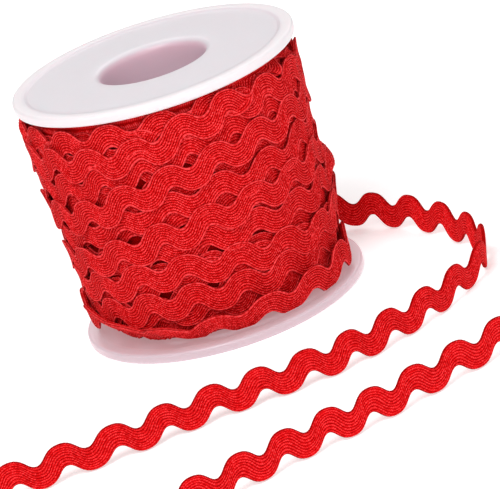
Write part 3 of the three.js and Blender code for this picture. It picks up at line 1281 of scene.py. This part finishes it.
@dataclass
class Winding:
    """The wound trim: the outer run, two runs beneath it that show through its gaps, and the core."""

    core_depth: float = 2.3
    core_inner_radius: float = 15.3
    core_steps: int = 96
    core_rows: int = 30
    core_pattern_radius: float = 33.0
    core_pattern_span: float = 8.0
    top: float = 61.2
    bottom: float = 2.8
    outer: WoundRun = WoundRun(
        turns=OUTER_TURNS,
        start=(
            Knot(-188.0, 8.1, 2.0),
            Knot(-150.0, 8.4, 1.2),
            Knot(-105.0, 8.6, 1.5, -2.0),
            Knot(-84.0, 8.6, 1.7, -2.0),
        ),
        end=(Knot(105.0, 57.0, -2.2), Knot(150.0, 56.0, -3.2)),
        start_phase=-6.75,
        proud=PROUD_WAVES,
        seed=11,
    )
    under: WoundRun = WoundRun(
        turns=UNDER_TURNS,
        start=(Knot(-180.0, 6.0, -3.4), Knot(-120.0, 7.0, -2.0)),
        end=(Knot(120.0, 54.5, -2.4), Knot(180.0, 54.0, -3.4)),
        start_phase=-6.0,
        braid=Braid(points_per_rib=4),
        steps_per_wave=16,
        height_unevenness=0.35,
        proud=PROUD_WAVES,
        seed=23,
    )
    deep: WoundRun = WoundRun(
        turns=DEEP_TURNS,
        start=(Knot(-180.0, 4.8, -3.4),),
        end=(Knot(180.0, 56.5, -3.4),),
        start_phase=-6.0,
        braid=Braid(points_per_rib=3),
        steps_per_wave=12,
        height_unevenness=0.5,
        seed=37,
    )

    def core(self) -> Surface:
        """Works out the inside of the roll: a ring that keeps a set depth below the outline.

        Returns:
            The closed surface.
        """
        outline = Outline()
        heights = np.linspace(self.bottom, self.top, self.core_rows)
        outer = outline.radius(heights) - self.core_depth
        inner = np.full(self.core_rows, self.core_inner_radius)
        radii = np.concatenate([outer, inner])
        levels = np.concatenate([heights, heights[::-1]])
        points, quads = turned(np.column_stack([radii, levels]), self.core_steps)
        angle = np.linspace(0.0, 2.0 * math.pi, self.core_steps, endpoint=False)
        across = np.linspace(-self.core_pattern_span, self.core_pattern_span, len(radii))
        pattern = Braid().pattern(angle * self.core_pattern_radius, across)
        return Surface(points, quads, [], pattern).outward()

    def build(self, cloth: bpy.types.Material) -> list[bpy.types.Object]:
        """Makes every piece of the winding and lets it stand for the CAD node.

        Args:
            cloth: The trim's finish.

        Returns:
            The pieces.
        """
        made = []
        for layer, run, parts in (("outer", self.outer, 2), ("under", self.under, 1), ("deep", self.deep, 1)):
            for number, surface in enumerate(run.split(parts), start=1):
                made.append(surface.piece(f"winding_{layer}_{number}", cloth))
        made.append(self.core().piece("winding_core", cloth))
        for piece in made:
            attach(piece, BODY)
            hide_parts("winding")
        return made


TAIL_ROUTE = (
    (4.5, 32.5, 8.1), (16.5, 30.6, 7.9), (28.2, 26.0, 6.4), (39.1, 19.6, 4.9), (47.5, 11.0, 4.6),
    (54.3, -0.2, 4.6), (59.4, -12.8, 4.6), (62.1, -23.9, 4.6), (61.1, -34.6, 4.6), (54.2, -44.8, 4.6),
    (46.1, -53.3, 4.6), (36.9, -60.1, 4.6), (26.9, -65.9, 4.6), (16.7, -69.8, 4.6), (5.3, -72.0, 4.6),
    (-5.9, -73.5, 4.6), (-17.5, -76.0, 4.6), (-29.0, -78.9, 4.6), (-41.3, -80.9, 4.6), (-53.1, -82.9, 4.6),
    (-64.8, -84.7, 4.6), (-75.3, -89.9, 4.6), (-81.5, -99.9, 4.6), (-81.3, -111.7, 4.6), (-75.0, -121.6, 4.6),
    (-65.2, -127.9, 4.6), (-53.8, -130.5, 4.6), (-42.2, -129.9, 4.6), (-31.0, -126.9, 4.6),
    (-20.2, -122.9, 4.6), (-9.6, -118.2, 4.6), (0.9, -113.1, 4.6), (11.3, -108.5, 4.6), (21.6, -104.8, 4.6),
    (31.8, -100.2, 4.6), (42.4, -94.3, 4.6), (53.1, -88.2, 4.6), (63.4, -81.9, 4.6),
)


@dataclass(frozen=True)
class Route:
    """A smooth curve through points: a centripetal Catmull-Rom spline, as the CAD part's own route."""

    points: np.ndarray

    def read(self, place: np.ndarray) -> tuple[np.ndarray, np.ndarray]:
        """Reads the curve, where place 2.5 is half way between its third point and its fourth.

        Each span is a cubic between its two points. Its slopes come from the differences to the points on
        either side, over times that are the fourth root of the squared distances.

        Args:
            place: Where to read it.

        Returns:
            The points and the unit tangents there.
        """
        first = 2.0 * self.points[:1] - self.points[1:2]
        last = 2.0 * self.points[-1:] - self.points[-2:-1]
        around = np.vstack([first, self.points, last])
        i = np.clip(np.floor(place).astype(int), 0, len(self.points) - 2)
        t = (place - i)[:, None]
        a, b, c, d = (around[i + k] for k in range(4))
        times = [np.sum((q - p) ** 2, axis=1, keepdims=True) ** 0.25 for p, q in ((a, b), (b, c), (c, d))]
        before, during, after = times
        leave = (b - a) / before - (c - a) / (before + during) + (c - b) / during
        arrive = (c - b) / during - (d - b) / (during + after) + (d - c) / after
        leave = leave * during
        arrive = arrive * during
        square = -3.0 * b + 3.0 * c - 2.0 * leave - arrive
        cube = 2.0 * b - 2.0 * c + leave + arrive
        point = b + leave * t + square * t ** 2 + cube * t ** 3
        slope = leave + 2.0 * square * t + 3.0 * cube * t ** 2
        return point, slope / np.linalg.norm(slope, axis=1, keepdims=True)

    def line(self, steps_per_span: int) -> np.ndarray:
        """Reads the curve's points at even steps of every span."""
        spans = len(self.points) - 1
        return self.read(np.linspace(0.0, spans, spans * steps_per_span + 1))[0]


@dataclass(frozen=True)
class LooseEnd:
    """The trim's loose end: a band on its edge along the route, one wave between neighbouring points.

    It has ribs on both faces, and its cut end shows the whole thickness.
    """

    route: Route = Route(np.array(TAIL_ROUTE))
    braid: Braid = Braid()
    steps_per_wave: int = 20
    overall_width: float = 9.0
    path_steps: int = 6
    skew_waves: float = 2.0
    first_crest: float = 0.25
    lean_points: tuple[float, ...] = (1.0, 4.0, 8.0, 11.0)
    leans: tuple[float, ...] = (0.0, 11.0, 11.0, 0.0)

    def surface(self) -> Surface:
        """Works out the band.

        The wave lifts the band's middle, and the band's cross direction is upright, less the wave's slope
        times the share by which the band turns with it, plus the skew that sets in beyond the roll. Upright
        leans outwards round the first bend.

        Returns:
            The closed surface.
        """
        waves = len(self.route.points) - 1
        place = np.linspace(0.0, waves, waves * self.steps_per_wave + 1)
        centre, along = self.route.read(place)
        flat = along * [1.0, 1.0, 0.0]
        flat /= np.linalg.norm(flat, axis=1, keepdims=True)
        up = np.array([0.0, 0.0, 1.0])
        lean = np.radians(smooth_through(self.lean_points, self.leans, place))[:, None]
        upright = up * np.cos(lean) + np.cross(up, flat) * np.sin(lean)
        aside = np.cross(upright, flat)
        phase = 2.0 * math.pi * place
        skew = self.braid.skew * np.clip(place / self.skew_waves, 0.0, 1.0)
        steep = self.braid.slope * self.braid.band_turn * np.cos(phase) - skew
        across = upright - steep[:, None] * flat
        across /= np.linalg.norm(across, axis=1, keepdims=True)
        waves = place - self.first_crest
        centre = centre + self.braid.amplitude * self.braid.swing(waves)[:, None] * upright
        v, rise = self.braid.section(ribbed_back=True)
        w = self.braid.places(v, waves)
        points = centre[:, None, :] + across[:, None, :] * w[:, :, None]
        points = points + aside[:, None, :] * rise[None, :, None]
        return self.braid.ribbon(points, waves * self.braid.pitch, v)

    def length(self) -> float:
        """Measures the mean line, in millimetres."""
        line = self.route.line(self.path_steps)
        return float(np.linalg.norm(np.diff(line, axis=0), axis=1).sum())

    def build(self, cloth: bpy.types.Material) -> bpy.types.Object:
        """Args:
            cloth: The trim's finish.

        Returns:
            The piece.
        """
        piece = self.surface().piece("loose_end", cloth)
        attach(piece, BODY)
        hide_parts("tail")
        line = self.route.line(self.path_steps) * METRES
        round(self.length() * METRES, 4)
        LOG.info("loose end: %.1f mm long", self.length())
        return piece


# The spool


@dataclass(frozen=True)
class Spool:
    """The moulded spool: two round flanges with a raised rim and a shallow recess, on a tube that is open.

    Its section is a closed outline of straight runs and rounded corners, the same at both ends, turned about
    the axis.
    """

    height: float = 64.0
    flange_radius: float = 35.0
    flange_thickness: float = 2.4
    flange_corner: float = 0.7
    rim_width: float = 2.8
    rim_step: float = 1.2
    outer_recess: float = 0.4
    inner_recess: float = 0.25
    bore_radius: float = 13.0
    bore_fillet: float = 1.8
    hub_wall: float = 2.0
    hub_fillet: float = 0.5
    segments: int = 240
    arc_steps: int = 6
    run_step: float = 1.6

    def arc(self, centre: tuple[float, float], radius: float, start: float, end: float) -> np.ndarray:
        """Gives points on a part of a circle, between two angles in degrees."""
        angle = np.radians(np.linspace(start, end, self.arc_steps + 1))
        return np.column_stack([centre[0] + radius * np.cos(angle), centre[1] + radius * np.sin(angle)])

    def step(self, start: tuple[float, float], end: tuple[float, float]) -> np.ndarray:
        """Works out a soft step between two points: the level follows half a cosine along the radius.

        Args:
            start: Its first radius and level.
            end: Its last radius and level.

        Returns:
            The step's points.
        """
        share = np.linspace(0.0, 1.0, self.arc_steps + 1)
        rise = 0.5 - 0.5 * np.cos(math.pi * share)
        radius = start[0] + (end[0] - start[0]) * share
        return np.column_stack([radius, start[1] + (end[1] - start[1]) * rise])

    def lower_half(self) -> np.ndarray:
        """Works out the lower half of the section, from the bore outwards and back in to the tube.

        Returns:
            Radii and heights, one row a point.
        """
        face = self.outer_recess
        rim = self.flange_radius - self.rim_width
        corner = self.flange_corner
        edge = self.flange_radius - corner
        top = self.flange_thickness
        inner = top - self.inner_recess
        hub = self.bore_radius + self.hub_wall
        bore = self.bore_radius + self.bore_fillet
        return np.vstack([
            self.arc((bore, face + self.bore_fillet), self.bore_fillet, 180, 270),
            self.step((rim - self.rim_step, face), (rim, 0.0)),
            self.arc((edge, corner), corner, -90, 0),
            self.arc((edge, top - corner), corner, 0, 90),
            self.step((rim, top), (rim - self.rim_step, inner)),
            self.arc((hub + self.hub_fillet, inner + self.hub_fillet), self.hub_fillet, 270, 180),
        ])

    def section(self) -> np.ndarray:
        """Joins both halves and adds points so that no run is longer than the step.

        Returns:
            Radii and heights, one row a point.
        """
        lower = self.lower_half()
        upper = (lower * [1.0, -1.0] + [0.0, self.height])[::-1]
        loop = np.vstack([lower, upper])
        nearby = np.roll(loop, -1, axis=0)
        parts = []
        for start, end in zip(loop, nearby):
            pieces = max(1, math.ceil(float(np.linalg.norm(end - start)) / self.run_step))
            share = np.arange(pieces)[:, None] / pieces
            parts.append(start + (end - start) * share)
        return np.vstack(parts)

    def build(self, plastic: bpy.types.Material) -> bpy.types.Object:
        """Makes the spool and lets it stand for the CAD node.

        Args:
            plastic: The spool's finish.

        Returns:
            The piece.
        """
        points, quads = turned(self.section(), self.segments)
        piece = Surface(points, quads).outward().piece("spool_moulding", plastic)
        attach(piece, BODY)
        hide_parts("spool")
        return piece


def main() -> None:
    """Builds the camera, the loose end, the roll and the studio."""
    logging.basicConfig(level=logging.INFO, format="%(name)s: %(message)s")
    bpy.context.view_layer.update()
    StudioCamera().build()
    weave = BraidWeave()
    yarn = YarnWear()
    cloth = ClothFinish().build(weave, yarn)
    # The loose end's cloth: weaker painted shade and crown highlights, and no painted light line inside its
    # edges.
    loose_cloth = ClothFinish(
        "loose_cloth", groove_share=0.7, outer_fade=0.6, edge_span=(0.84, 0.96), edge_share=0.6,
        edge_highlight=0.0, crown_highlight=0.45, stitch_share=0.3,
    ).build(weave, yarn)
    LooseEnd().build(loose_cloth)
    Spool().build(PlasticFinish().build())
    Winding().build(cloth)
    Studio().build(FloorFinish().build())


if __name__ == "__main__":
    main()
